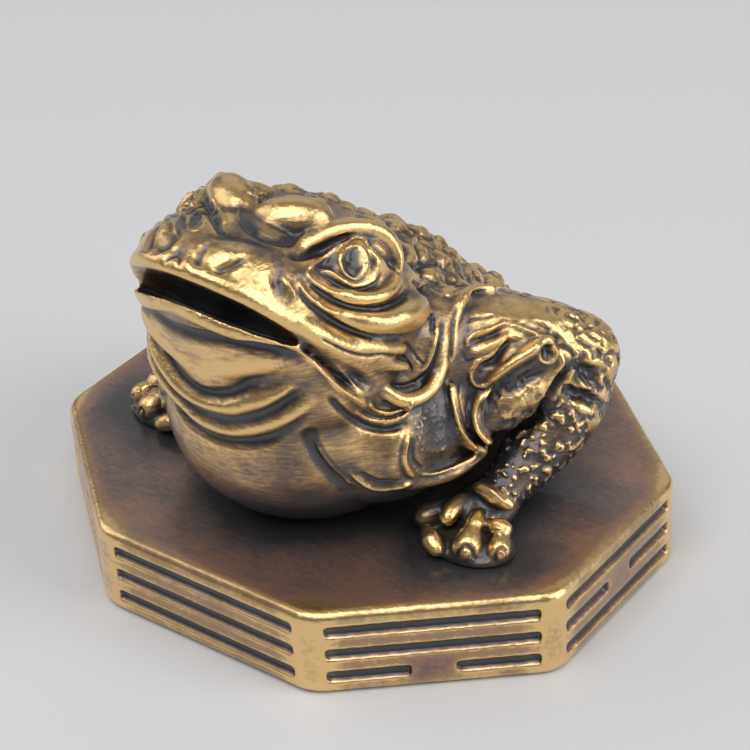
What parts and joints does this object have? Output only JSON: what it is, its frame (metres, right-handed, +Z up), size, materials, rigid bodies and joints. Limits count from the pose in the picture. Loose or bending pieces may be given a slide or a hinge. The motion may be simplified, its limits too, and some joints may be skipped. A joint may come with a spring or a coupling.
{
  "type": "desk figurine",
  "caption": "Squatting toad with head raised and mouth ajar, cast on a low eight-sided plinth whose sides carry sunken bar patterns.",
  "frame": {"origin": "centre of the plinth's underside", "axes": "+Z up, the toad faces -Y, its left side is +X"},
  "size_m": [0.09, 0.077, 0.0655],
  "materials": {
    "brass": "antique brass, rubbed bright on the high places and dark brown in the folds",
    "dark_brass": "dark brown patina on top, worn gold along the rim and corners, blackened bars"
  },
  "bodies": {
    "root": {"plinth": "dark_brass", "toad": "brass"}
  },
  "joints": []
}
